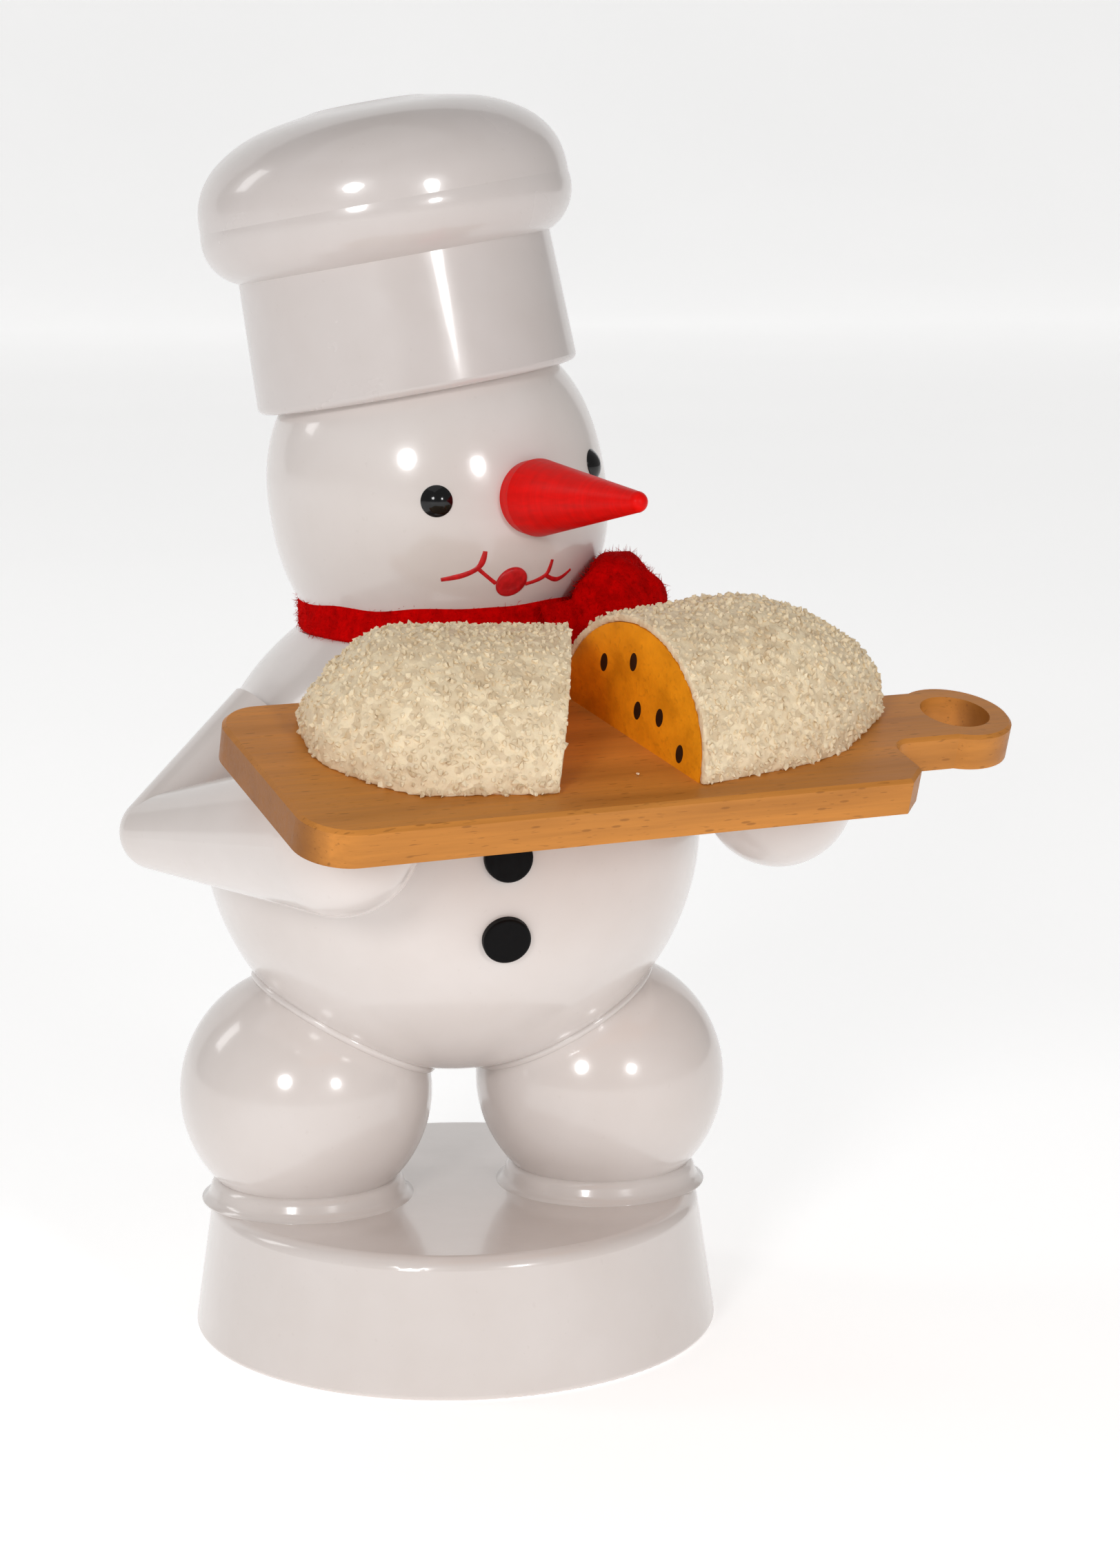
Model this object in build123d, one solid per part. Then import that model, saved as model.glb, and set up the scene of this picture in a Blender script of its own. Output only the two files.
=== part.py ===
from build123d import *
import math
import os

# ---------------------------------------------------------------- driving dimensions (mm, degrees)
BASE_RADIUS = 17.3            # foot of the drum
BASE_TOP_RADIUS = 16.0
BASE_HEIGHT = 8.8
BASE_RIM_ROUND = 0.9
BASE_FOOT_ROUND = 0.35

LEG_RADIUS = 8.25
LEG_SPREAD = 9.8              # leg ball centre from the middle plane
LEG_RISE = 7.1                # leg ball centre above the base top
FOOT_RADIUS = 5.6             # turned collar under each leg ball
FOOT_COLLAR = 1.3
SEAT_GAP = 0.01               # glue line of two curved seats

TORSO_RADIUS = 16.2
TORSO_SETTLE = 4.35           # how far leg balls are let into the torso ball
NECK_SEAT_RISE = 12.8         # flat neck seat above the torso centre

HEAD_RADIUS = 10.8
HEAD_FULLNESS = 2.35          # exponent of the head curve, 2 is a true ball
HEAD_RISE = 8.55              # head centre above the neck seat
HEAD_SHIFT = -0.7
HEAD_TILT = 9.8               # sideways lean of head and hat
TILT_BEARING = -8.2           # direction square to the lean
HAT_SEAT = 6.9                # hat seat above the head centre, along the head axis

BAND_RADIUS = 10.3
BAND_TOP_RADIUS = 10.2
BAND_HEIGHT = 8.3
PUFF_RADIUS = 11.8
PUFF_HEIGHT = 9.7
PUFF_SWELL = 3.4              # height of the widest ring above the groove
PUFF_FULLNESS = 2.5
GROOVE_DEPTH = 0.2
RIM_ROUND = 0.45

NOSE_BEARING = 32.5           # from the tilt direction, turned with the face
NOSE_DROP = -3.0
NOSE_RADIUS = 2.4
NOSE_TIP_RADIUS = 0.65
NOSE_LENGTH = 11.6
NOSE_TENON_RADIUS = 1.0
NOSE_TENON_LENGTH = 3.0

EYE_RADIUS = 0.98
EYE_HEIGHT = 0.45
EYE_BEARING = 0.0             # visible eye, from the tilt direction
EYE_SPACING = 68.0            # degrees between the eyes
EYE_LIFT = 2.0

BUTTON_RADIUS = 1.5
BUTTON_THICKNESS = 0.5
BUTTON_BEARING = 3.7
BUTTON_ELEVATIONS = (1.9, -16.6)

UPPER_TURN = 19.0             # arms are turned to the left hand side of the figure
SHOULDER_INSET = 1.9          # shoulder point inside the torso surface, from the body axis
SHOULDER_RISE = 6.6           # above the torso centre
ELBOW_OVERHANG = 4.7          # elbow beyond the torso radius
ELBOW_BEARING = 88.0
ELBOW_RISE = 1.3
HAND_OVERHANG = 5.5           # hand beyond the torso radius
HAND_BEARING = 45.0
HAND_RISE = 2.9
UPPER_ARM_RADIUS = 2.9
ELBOW_RADIUS = 2.35
HAND_RADIUS = 4.85

BOARD_LENGTH = 38.3
BOARD_WIDTH = 16.6
BOARD_THICKNESS = 2.25
BOARD_CORNER = 2.9
BOARD_EDGE_ROUND = 0.22
SHOULDER_SLANT = 1.5
HANDLE_CENTRE = 46.4
HANDLE_RADIUS = 3.6
HANDLE_HOLE_RADIUS = 2.2
HANDLE_NECK = 6.4
HANDLE_COVE = 1.3
BOARD_TURN = 16.7
BOARD_SLOPE = 17.3            # the board leans forward
BOARD_CORNER_X = -17.15       # back left corner of the top face
BOARD_CLEARANCE = 3.9         # the same corner ahead of the torso's front
BOARD_RISE = 10.8             # board corner above the torso centre

CRUST = 0.5                   # sugar coat
LEFT_LOAF_X = 18.95           # middle of the cut on the board
LEFT_LOAF_Y = -7.6
LEFT_LOAF_TURN = 188.0
LEFT_LOAF_HALF_WIDTH = 7.2
LEFT_LOAF_HEIGHT = 6.6
LEFT_LOAF_BODY = 6.6          # full-width length ahead of the rounded end
LEFT_LOAF_END = 8.7
LEFT_LOAF_CUT = -17.0         # obliquity of the cut
RIGHT_LOAF_X = 23.5
RIGHT_LOAF_Y = -8.05
RIGHT_LOAF_TURN = 10.9
RIGHT_LOAF_HALF_WIDTH = 7.1
RIGHT_LOAF_HEIGHT = 7.4
RIGHT_LOAF_BODY = 2.5
RIGHT_LOAF_END = 16.0
RIGHT_LOAF_CUT = 0.0
RAISIN_LENGTH = 1.15
RAISIN_WIDTH = 0.65
RAISIN_DEPTH = 0.35
RAISIN_SPOTS = ((-3.2, 3.5), (-0.6, 4.6), (0.4, 1.9), (2.4, 2.3), (4.6, 0.95))

DOWEL_RADIUS = 1.5
DOWEL_LENGTH = 8.0
NECK_DOWEL_RADIUS = 2.0
SHOULDER_DOWEL_RADIUS = 1.0
SHOULDER_DOWEL_LENGTH = 6.0
HOLE_SPARE = 0.3              # glue pocket at each dowel end

SCARF_HEIGHT = 2.6
SCARF_CLEARANCE = 0.3
SCARF_OVERHANG = -0.2          # scarf edge beyond the torso's neck seat
KNOT_BEARING = 58.0
KNOT_LENGTH = 7.0
KNOT_HEIGHT = 6.0
KNOT_THICKNESS = 4.2
KNOT_RISE = 2.0               # knot middle above the neck seat
TAIL_BEARING = 32.0
TAIL_LENGTH = 3.6
TAIL_WIDTH = 3.0
TAIL_THICKNESS = 1.5
TAIL_RISE = 0.6

# ---------------------------------------------------------------- derived places
LEG_Z = BASE_HEIGHT + LEG_RISE
HIP_DISTANCE = LEG_RADIUS + TORSO_RADIUS - TORSO_SETTLE
TORSO_Z = LEG_Z + math.sqrt(HIP_DISTANCE ** 2 - LEG_SPREAD ** 2)
NECK_Z = TORSO_Z + NECK_SEAT_RISE
SHOULDER_RADIUS = TORSO_RADIUS - SHOULDER_INSET
ELBOW_REACH = TORSO_RADIUS + ELBOW_OVERHANG
HAND_REACH = TORSO_RADIUS + HAND_OVERHANG
BOARD_CORNER_Y = -TORSO_RADIUS - BOARD_CLEARANCE
BOARD_CORNER_Z = TORSO_Z + BOARD_RISE
HEAD_Z = NECK_Z + HEAD_RISE
NECK_SEAT_RADIUS = math.sqrt(TORSO_RADIUS ** 2 - NECK_SEAT_RISE ** 2)
SCARF_RADIUS = NECK_SEAT_RADIUS + SCARF_OVERHANG


def direction(bearing, elevation=0.0):
    """Unit vector: bearing 0 is the front (-Y), positive towards +X."""
    b = math.radians(bearing)
    e = math.radians(elevation)
    return Vector(math.sin(b) * math.cos(e), -math.cos(b) * math.cos(e), math.sin(e))


def rod(start, end, radius, end_radius=None):
    """Round bar, or cone when the two radii differ, between two points."""
    run = end - start
    place = Plane(origin=start, z_dir=run.normalized())
    tip = radius if end_radius is None else end_radius
    if abs(tip - radius) < 1e-9:
        bar = Cylinder(radius, run.length, align=(Align.CENTER, Align.CENTER, Align.MIN))
    else:
        bar = Cone(radius, tip, run.length, align=(Align.CENTER, Align.CENTER, Align.MIN))
    return place * bar


def half_space(point, normal, size=120.0):
    """Large block on the side of the plane that the normal points to."""
    block = Box(size, size, size, align=(Align.CENTER, Align.CENTER, Align.MIN))
    return Plane(origin=point, z_dir=normal) * block


def ball(centre, radius):
    return Pos(centre.X, centre.Y, centre.Z) * Sphere(radius)


# ---------------------------------------------------------------- frames of the tilted head and the board
HEAD_CENTRE = Vector(HEAD_SHIFT, 0, HEAD_Z)
HEAD_FRAME = Pos(HEAD_SHIFT, 0, HEAD_Z) * Rot(0, 0, TILT_BEARING) * Rot(0, -HEAD_TILT, 0)
BOARD_FRAME = (Pos(BOARD_CORNER_X, BOARD_CORNER_Y, BOARD_CORNER_Z)
               * Rot(0, 0, BOARD_TURN) * Rot(BOARD_SLOPE, 0, 0))
TORSO_CENTRE = Vector(0, 0, TORSO_Z)


def leg_centre(side):
    return Vector(side * LEG_SPREAD, 0, LEG_Z)


def hip_dowel(side, spare=0.0):
    """Dowel through the leg and torso seat, along the line of the two ball centres."""
    axis = (TORSO_CENTRE - leg_centre(side)).normalized()
    seat = TORSO_CENTRE - axis * TORSO_RADIUS
    reach = axis * (DOWEL_LENGTH / 2 + spare)
    return rod(seat - reach, seat + reach, DOWEL_RADIUS)


def foot_dowel(side, spare=0.0):
    reach = Vector(0, 0, DOWEL_LENGTH / 2 + spare)
    foot = Vector(side * LEG_SPREAD, 0, BASE_HEIGHT)
    return rod(foot - reach, foot + reach, DOWEL_RADIUS)


def neck_dowel(spare=0.0):
    seat = Vector(HEAD_SHIFT / 2, 0, NECK_Z)
    reach = Vector(0, 0, DOWEL_LENGTH / 2 + spare)
    return rod(seat - reach, seat + reach, NECK_DOWEL_RADIUS)


def hat_dowel(spare=0.0):
    length = DOWEL_LENGTH + 2 * spare
    return HEAD_FRAME * (Pos(0, 0, HAT_SEAT) * Cylinder(NECK_DOWEL_RADIUS, length))


# ---------------------------------------------------------------- arms
def arm_points(side):
    """Shoulder, elbow and hand centres of one arm."""
    turn = UPPER_TURN
    shoulder = direction(turn + side * ELBOW_BEARING) * SHOULDER_RADIUS
    elbow = direction(turn + side * ELBOW_BEARING) * ELBOW_REACH
    hand = direction(turn + side * HAND_BEARING) * HAND_REACH
    return (shoulder + Vector(0, 0, TORSO_Z + SHOULDER_RISE),
            elbow + Vector(0, 0, TORSO_Z + ELBOW_RISE),
            hand + Vector(0, 0, TORSO_Z + HAND_RISE))


def elbow_plane_normal(side):
    """Mitre plane of the elbow: its normal points from the forearm to the upper arm."""
    shoulder, elbow, hand = arm_points(side)
    return ((shoulder - elbow).normalized() - (hand - elbow).normalized()).normalized()


def shoulder_dowel(side, spare=0.0):
    shoulder, elbow, hand = arm_points(side)
    axis = (shoulder - elbow).normalized()
    reach = axis * (SHOULDER_DOWEL_LENGTH / 2 + spare)
    return rod(shoulder - reach, shoulder + reach, SHOULDER_DOWEL_RADIUS)


def upper_arm(side):
    shoulder, elbow, hand = arm_points(side)
    inner = shoulder + (shoulder - elbow).normalized() * 1.5
    arm = rod(elbow, inner, ELBOW_RADIUS, UPPER_ARM_RADIUS) + ball(elbow, ELBOW_RADIUS)
    arm = arm & half_space(elbow, elbow_plane_normal(side))
    arm = arm - ball(TORSO_CENTRE, TORSO_RADIUS + SEAT_GAP)
    return arm - shoulder_dowel(side, HOLE_SPARE)


def board_underside():
    """Block under the board, used to cut the seats in the hands."""
    depth = 30.0
    slab = Box(120, 120, depth, align=(Align.CENTER, Align.CENTER, Align.MAX))
    return BOARD_FRAME * Pos(0, 0, -BOARD_THICKNESS) * slab


def forearm(side):
    shoulder, elbow, hand = arm_points(side)
    run = (hand - elbow)
    # the cone is tangent to both end balls
    sine = (HAND_RADIUS - ELBOW_RADIUS) / run.length
    cosine = math.sqrt(1 - sine ** 2)
    axis = run.normalized()
    cone = rod(elbow - axis * (ELBOW_RADIUS * sine), hand - axis * (HAND_RADIUS * sine),
               ELBOW_RADIUS * cosine, HAND_RADIUS * cosine)
    arm = cone + ball(elbow, ELBOW_RADIUS) + ball(hand, HAND_RADIUS)
    arm = arm & half_space(elbow, elbow_plane_normal(side) * -1)
    arm = arm & board_underside()
    return arm - ball(TORSO_CENTRE, TORSO_RADIUS + SEAT_GAP)


# ---------------------------------------------------------------- base, legs and torso
def base():
    drum = Cone(BASE_RADIUS, BASE_TOP_RADIUS, BASE_HEIGHT,
                align=(Align.CENTER, Align.CENTER, Align.MIN))
    rims = drum.edges().filter_by(GeomType.CIRCLE).sort_by(Axis.Z)
    drum = fillet(rims[-1], BASE_RIM_ROUND)
    foot = drum.edges().filter_by(GeomType.CIRCLE).sort_by(Axis.Z)[0]
    drum = fillet(foot, BASE_FOOT_ROUND)
    for side in (-1, 1):
        drum = drum - foot_dowel(side, HOLE_SPARE)
    return drum


def left_leg():
    shape = ball(leg_centre(-1), LEG_RADIUS)
    shape = shape & half_space(Vector(0, 0, BASE_HEIGHT), Vector(0, 0, 1))
    collar = Cylinder(FOOT_RADIUS, FOOT_COLLAR, align=(Align.CENTER, Align.CENTER, Align.MIN))
    shape = shape + Pos(-LEG_SPREAD, 0, BASE_HEIGHT) * collar
    shape = shape - ball(TORSO_CENTRE, TORSO_RADIUS + SEAT_GAP)
    return shape - foot_dowel(-1, HOLE_SPARE) - hip_dowel(-1, HOLE_SPARE)


def leg(side):
    return left_leg() if side < 0 else mirror(left_leg(), Plane.YZ)


def body():
    shape = ball(TORSO_CENTRE, TORSO_RADIUS)
    shape = shape & half_space(Vector(0, 0, NECK_Z), Vector(0, 0, -1))
    for side in (-1, 1):
        shape = shape - hip_dowel(side, HOLE_SPARE) - shoulder_dowel(side, HOLE_SPARE)
    return shape - neck_dowel(HOLE_SPARE)


def button(elevation):
    outward = direction(BUTTON_BEARING, elevation)
    inner = TORSO_CENTRE + outward * (TORSO_RADIUS - 1.0)
    outer = TORSO_CENTRE + outward * (TORSO_RADIUS + BUTTON_THICKNESS)
    disc = rod(inner, outer, BUTTON_RADIUS)
    disc = fillet(disc.edges().filter_by(GeomType.CIRCLE).sort_by(Axis(TORSO_CENTRE, outward))[-1], 0.2)
    return disc - ball(TORSO_CENTRE, TORSO_RADIUS)


# ---------------------------------------------------------------- head and hat
def head_curve_radius(height):
    """Half width of the head at a height from its centre."""
    share = abs(height) / HEAD_RADIUS
    return HEAD_RADIUS * (1 - share ** HEAD_FULLNESS) ** (1 / HEAD_FULLNESS)


def head_blank():
    """Solid of revolution in the tilted head frame, before its seats are cut."""
    bottom = -HEAD_RADIUS * 0.985
    steps = 12
    points = []
    for i in range(steps + 1):
        angle = math.pi / 2 * (i / steps)
        height = bottom * math.cos(angle)
        points.append((head_curve_radius(height), height))
    for i in range(1, 7):
        height = HAT_SEAT * i / 6
        points.append((head_curve_radius(height), height))
    side = Spline(*points)
    top = Line(side @ 1, (0, HAT_SEAT))
    spine = Line((0, HAT_SEAT), (0, bottom))
    foot = Line((0, bottom), side @ 0)
    section = Plane.XZ * make_face([side, top, spine, foot])
    return HEAD_FRAME * revolve(section, Axis.Z)


def nose_tenon(spare=0.0):
    """Round tenon that enters the head along the nose axis."""
    outward = direction(NOSE_BEARING, NOSE_DROP)
    start = outward * (HEAD_RADIUS + 1.5)
    end = outward * (HEAD_RADIUS - NOSE_TENON_LENGTH - spare)
    return HEAD_FRAME * rod(end, start, NOSE_TENON_RADIUS)


def head():
    shape = head_blank() & half_space(Vector(0, 0, NECK_Z), Vector(0, 0, 1))
    return shape - neck_dowel(HOLE_SPARE) - hat_dowel(HOLE_SPARE) - nose_tenon(HOLE_SPARE)


def nose():
    """Carrot: short rounded root, long taper and a small round tip."""
    outward = direction(NOSE_BEARING, NOSE_DROP)
    root = outward * (HEAD_RADIUS - 1.2)
    swell = outward * (HEAD_RADIUS + 0.8)
    tip = outward * (HEAD_RADIUS + NOSE_LENGTH - NOSE_TIP_RADIUS)
    carrot = rod(root, swell, NOSE_RADIUS * 0.88, NOSE_RADIUS)
    carrot = carrot + rod(swell, tip, NOSE_RADIUS, NOSE_TIP_RADIUS)
    carrot = carrot + ball(tip, NOSE_TIP_RADIUS)
    return ((HEAD_FRAME * carrot) - head_blank()) + nose_tenon()


def eye(bearing):
    outward = direction(bearing, EYE_LIFT)
    reach = HEAD_RADIUS + EYE_HEIGHT
    dome_radius = EYE_RADIUS * 1.35
    dome = ball(outward * (reach - dome_radius), dome_radius)
    dome = dome & rod(outward * (HEAD_RADIUS - 2), outward * (HEAD_RADIUS + 2), EYE_RADIUS)
    return (HEAD_FRAME * dome) - head_blank()


def puff_crown(groove):
    """Upper outline of the puff, from its widest ring to the middle of the crown."""
    rise = PUFF_HEIGHT - PUFF_SWELL
    points = []
    for i in range(1, 6):
        angle = math.radians(15 * i)
        points.append((PUFF_RADIUS * math.cos(angle) ** (2 / PUFF_FULLNESS),
                       groove + PUFF_SWELL + rise * math.sin(angle) ** (2 / PUFF_FULLNESS)))
    return [(PUFF_RADIUS, groove + PUFF_SWELL)] + points + [(0, groove + PUFF_HEIGHT)]


def chef_hat():
    """Band and puff turned as one piece in the tilted head frame."""
    groove = HAT_SEAT + BAND_HEIGHT
    band = Line((0, HAT_SEAT), (BAND_RADIUS - RIM_ROUND, HAT_SEAT))
    rim = ThreePointArc((BAND_RADIUS - RIM_ROUND, HAT_SEAT),
                        (BAND_RADIUS - RIM_ROUND * 0.29, HAT_SEAT + RIM_ROUND * 0.29),
                        (BAND_RADIUS, HAT_SEAT + RIM_ROUND))
    wall = Line((BAND_RADIUS, HAT_SEAT + RIM_ROUND), (BAND_TOP_RADIUS - GROOVE_DEPTH, groove))
    waist = BAND_TOP_RADIUS - GROOVE_DEPTH
    half = math.sqrt(0.5)
    swell = ThreePointArc((waist, groove),
                          (waist + (PUFF_RADIUS - waist) * half, groove + PUFF_SWELL * (1 - half)),
                          (PUFF_RADIUS, groove + PUFF_SWELL))
    crown = Spline(*puff_crown(groove), tangents=((0, 1), (-1, 0)))
    spine = Line((0, groove + PUFF_HEIGHT), (0, HAT_SEAT))
    section = Plane.XZ * make_face([band, rim, wall, swell, crown, spine])
    return (HEAD_FRAME * revolve(section, Axis.Z)) - hat_dowel(HOLE_SPARE)


# ---------------------------------------------------------------- board and loaf
def board():
    middle = -BOARD_WIDTH / 2
    plate = Polyline((0, 0), (BOARD_LENGTH, 0),
                     (BOARD_LENGTH + SHOULDER_SLANT, -SHOULDER_SLANT),
                     (BOARD_LENGTH + SHOULDER_SLANT, -BOARD_WIDTH + SHOULDER_SLANT),
                     (BOARD_LENGTH, -BOARD_WIDTH), (0, -BOARD_WIDTH), close=True)
    outline = make_face(plate)
    outline = fillet(outline.vertices().sort_by(Axis.X)[:2], BOARD_CORNER)
    neck_start = BOARD_LENGTH + SHOULDER_SLANT
    neck = Pos((neck_start + HANDLE_CENTRE) / 2, middle) * Rectangle(
        HANDLE_CENTRE - neck_start + 0.2, HANDLE_NECK)
    outline = outline + neck
    inner = [v for v in outline.vertices()
             if abs(v.X - neck_start) < 0.2 and abs(abs(v.Y - middle) - HANDLE_NECK / 2) < 0.1]
    outline = fillet(inner, HANDLE_COVE)
    outline = outline + Pos(HANDLE_CENTRE, middle) * Circle(HANDLE_RADIUS)
    outline = outline - Pos(HANDLE_CENTRE, middle) * Circle(HANDLE_HOLE_RADIUS)
    plank = extrude(outline, -BOARD_THICKNESS)
    rims = plank.faces().sort_by(Axis.Z)[-1].outer_wire().edges()
    plank = chamfer(rims, BOARD_EDGE_ROUND)
    return BOARD_FRAME * plank


def loaf_blank(half_width, height, body_length, end_length, cut, inset):
    """Half-round loaf on Z=0, its cut at X=0 and its rounded end at +X."""
    wide = half_width - inset
    tall = height - inset
    end = end_length - inset
    extra = half_width * math.tan(math.radians(abs(cut))) + 1.0
    profile = [Line((-extra, 0), (-extra, wide)),
               Line((-extra, wide), (body_length, wide)),
               Spline((body_length, wide), (body_length + end * 0.51, wide * 0.94),
                      (body_length + end * 0.83, wide * 0.60), (body_length + end, 0),
                      tangents=((1, 0), (0, -1))),
               Line((body_length + end, 0), (-extra, 0))]
    turned = revolve(make_face(profile), Axis.X)
    whole = scale(turned & half_space(Vector(0, 0, 0), Vector(0, 0, 1)), (1, 1, tall / wide))
    normal = Vector(math.cos(math.radians(cut)), math.sin(math.radians(cut)), 0)
    return whole & half_space(Vector(0, 0, 0), normal)


LEFT_LOAF = (LEFT_LOAF_HALF_WIDTH, LEFT_LOAF_HEIGHT, LEFT_LOAF_BODY, LEFT_LOAF_END, LEFT_LOAF_CUT)
RIGHT_LOAF = (RIGHT_LOAF_HALF_WIDTH, RIGHT_LOAF_HEIGHT, RIGHT_LOAF_BODY, RIGHT_LOAF_END, RIGHT_LOAF_CUT)
LEFT_LOAF_FRAME = BOARD_FRAME * Pos(LEFT_LOAF_X, LEFT_LOAF_Y, 0) * Rot(0, 0, -LEFT_LOAF_TURN)
RIGHT_LOAF_FRAME = BOARD_FRAME * Pos(RIGHT_LOAF_X, RIGHT_LOAF_Y, 0) * Rot(0, 0, RIGHT_LOAF_TURN)


def loaf_core(sizes):
    return loaf_blank(*sizes, CRUST)


def loaf_crust(sizes):
    return loaf_blank(*sizes, 0.0) - loaf_blank(*sizes, CRUST)


def raisin(spot):
    """Small dark oval let into the cut face of the right half."""
    across, up = spot
    oval = Ellipse(RAISIN_WIDTH / 2, RAISIN_LENGTH / 2)
    face_plane = Plane(origin=(0, -across, up), x_dir=(0, 1, 0), z_dir=(1, 0, 0))
    return extrude(face_plane * oval, RAISIN_DEPTH)


# ---------------------------------------------------------------- scarf
def scarf_band():
    """Plain closed band round the neck, between the head and the torso seat."""
    lift = SCARF_CLEARANCE
    ring = Cylinder(SCARF_RADIUS, SCARF_HEIGHT, align=(Align.CENTER, Align.CENTER, Align.MIN))
    ring = fillet(ring.edges().sort_by(Axis.Z)[0], 0.4)
    ring = Pos(HEAD_SHIFT / 2, 0, NECK_Z + lift) * ring
    return ring - head_clearance()


def head_clearance():
    """The head's own bulk grown by the scarf clearance."""
    grown = (HEAD_RADIUS + SCARF_CLEARANCE) / HEAD_RADIUS
    centred = Pos(-HEAD_CENTRE.X, -HEAD_CENTRE.Y, -HEAD_CENTRE.Z) * head_blank()
    return Pos(HEAD_CENTRE.X, HEAD_CENTRE.Y, HEAD_CENTRE.Z) * scale(centred, grown)


def scarf_knot():
    """Folded lump where the scarf is crossed over."""
    out = direction(KNOT_BEARING)
    centre = out * (SCARF_RADIUS + KNOT_THICKNESS / 2 + SCARF_CLEARANCE)
    place = Plane(origin=(centre.X + HEAD_SHIFT / 2, centre.Y, NECK_Z + KNOT_RISE),
                  z_dir=out, x_dir=direction(KNOT_BEARING + 90))
    lump = Box(KNOT_LENGTH, KNOT_HEIGHT, KNOT_THICKNESS)
    lump = fillet(lump.edges(), 1.2)
    return (place * lump) - torso_clearance() - head_clearance()


def torso_clearance():
    return ball(TORSO_CENTRE, TORSO_RADIUS + SCARF_CLEARANCE)


def scarf_tail():
    """Short end that hangs beside the knot, in front of the band."""
    out = direction(TAIL_BEARING)
    centre = out * (SCARF_RADIUS + SCARF_CLEARANCE + TAIL_THICKNESS / 2)
    place = Plane(origin=(centre.X + HEAD_SHIFT / 2, centre.Y, NECK_Z + TAIL_RISE),
                  z_dir=out, x_dir=direction(TAIL_BEARING + 90))
    end = place * Box(TAIL_WIDTH, TAIL_LENGTH, TAIL_THICKNESS)
    return end - torso_clearance() - head_clearance()


# ---------------------------------------------------------------- write one STEP per piece
def all_pieces():
    pieces = {
        "base": base(),
        "body": body(),
        "neck_dowel": neck_dowel(),
        "head": head(),
        "hat_dowel": hat_dowel(),
        "chef_hat": chef_hat(),
        "nose": nose(),
        "left_eye": eye(EYE_BEARING),
        "right_eye": eye(EYE_BEARING + EYE_SPACING),
        "top_button": button(BUTTON_ELEVATIONS[0]),
        "bottom_button": button(BUTTON_ELEVATIONS[1]),
        "board": board(),
        "left_loaf_core": LEFT_LOAF_FRAME * loaf_core(LEFT_LOAF),
        "left_loaf_crust": LEFT_LOAF_FRAME * loaf_crust(LEFT_LOAF),
        "scarf_band": scarf_band(),
        "scarf_knot": scarf_knot(),
        "scarf_tail": scarf_tail(),
    }
    core = loaf_core(RIGHT_LOAF)
    for i, spot in enumerate(RAISIN_SPOTS):
        pieces[f"raisin_{i + 1}"] = RIGHT_LOAF_FRAME * raisin(spot)
        core = core - raisin(spot)
    pieces["right_loaf_core"] = RIGHT_LOAF_FRAME * core
    pieces["right_loaf_crust"] = RIGHT_LOAF_FRAME * loaf_crust(RIGHT_LOAF)
    for name, side in (("left", -1), ("right", 1)):
        pieces[f"{name}_foot_dowel"] = foot_dowel(side)
        pieces[f"{name}_leg"] = leg(side)
        pieces[f"{name}_hip_dowel"] = hip_dowel(side)
        pieces[f"{name}_shoulder_dowel"] = shoulder_dowel(side)
        pieces[f"{name}_upper_arm"] = upper_arm(side)
        pieces[f"{name}_forearm"] = forearm(side)
    return pieces


if __name__ == "__main__":
    os.makedirs("parts", exist_ok=True)
    for name, shape in all_pieces().items():
        export_step(shape, f"parts/{name}.step")
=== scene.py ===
import math

import bmesh
import bpy
from bpy.props import FloatProperty, FloatVectorProperty, IntProperty, PointerProperty
from bpy.types import Operator, Panel, PropertyGroup
from mathutils import Euler, Matrix, Vector, noise


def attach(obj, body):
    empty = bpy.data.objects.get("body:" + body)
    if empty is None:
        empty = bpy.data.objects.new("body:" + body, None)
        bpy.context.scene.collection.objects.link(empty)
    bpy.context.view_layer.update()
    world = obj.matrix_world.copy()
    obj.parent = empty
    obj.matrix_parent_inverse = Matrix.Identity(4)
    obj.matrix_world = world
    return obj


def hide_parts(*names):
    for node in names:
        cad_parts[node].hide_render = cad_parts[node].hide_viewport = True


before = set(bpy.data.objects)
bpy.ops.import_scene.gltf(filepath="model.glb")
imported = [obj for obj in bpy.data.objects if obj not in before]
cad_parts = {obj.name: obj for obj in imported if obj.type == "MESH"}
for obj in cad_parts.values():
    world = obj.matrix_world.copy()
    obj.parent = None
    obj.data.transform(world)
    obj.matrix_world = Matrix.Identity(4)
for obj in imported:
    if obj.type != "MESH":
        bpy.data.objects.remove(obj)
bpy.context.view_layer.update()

bl_info = {
    "name": "Turned Snowman Baker",
    "version": (1, 0, 0),
    "blender": (4, 5, 0),
    "location": "3D View > Sidebar > Snowman",
    "description": "Lacquered wooden snowman with a baker's hat, carrying a sugared loaf on a board",
    "category": "Object",
}

MM = 0.001

# places shared with the turned parts, in millimetres
TORSO_CENTRE = Vector((0.0, 0.0, 33.449))
TORSO_RADIUS = 16.2
LEG_CENTRE = Vector((9.8, 0.0, 15.9))
LEG_RADIUS = 8.25
BASE_TOP = 8.8
FOOT_RADIUS = 5.6
NECK_SEAT = 46.249
HEAD_CENTRE = Vector((-0.7, 0.0, 54.8))
HEAD_RADIUS = 10.8
HEAD_FULLNESS = 2.35
HEAD_TURN = Euler((0.0, math.radians(-9.8), math.radians(-8.2)))
HAT_SEAT = 6.9
NOSE_BEARING = 32.5
NOSE_DROP = -3.0
BOARD_CORNER = Vector((-17.15, -20.1, 44.249))
BOARD_TURN = Euler((math.radians(17.3), 0.0, math.radians(16.7)))
# middle of the cut, turn on the board, half width, height, straight length, end length, cut angle
LOAVES = {
    "left": ((18.95, -7.6), -188.0, 7.2, 6.6, 6.6, 8.7, -17.0),
    "right": ((23.5, -8.05), 10.9, 7.1, 7.4, 2.5, 16.0, 0.0),
}


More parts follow.
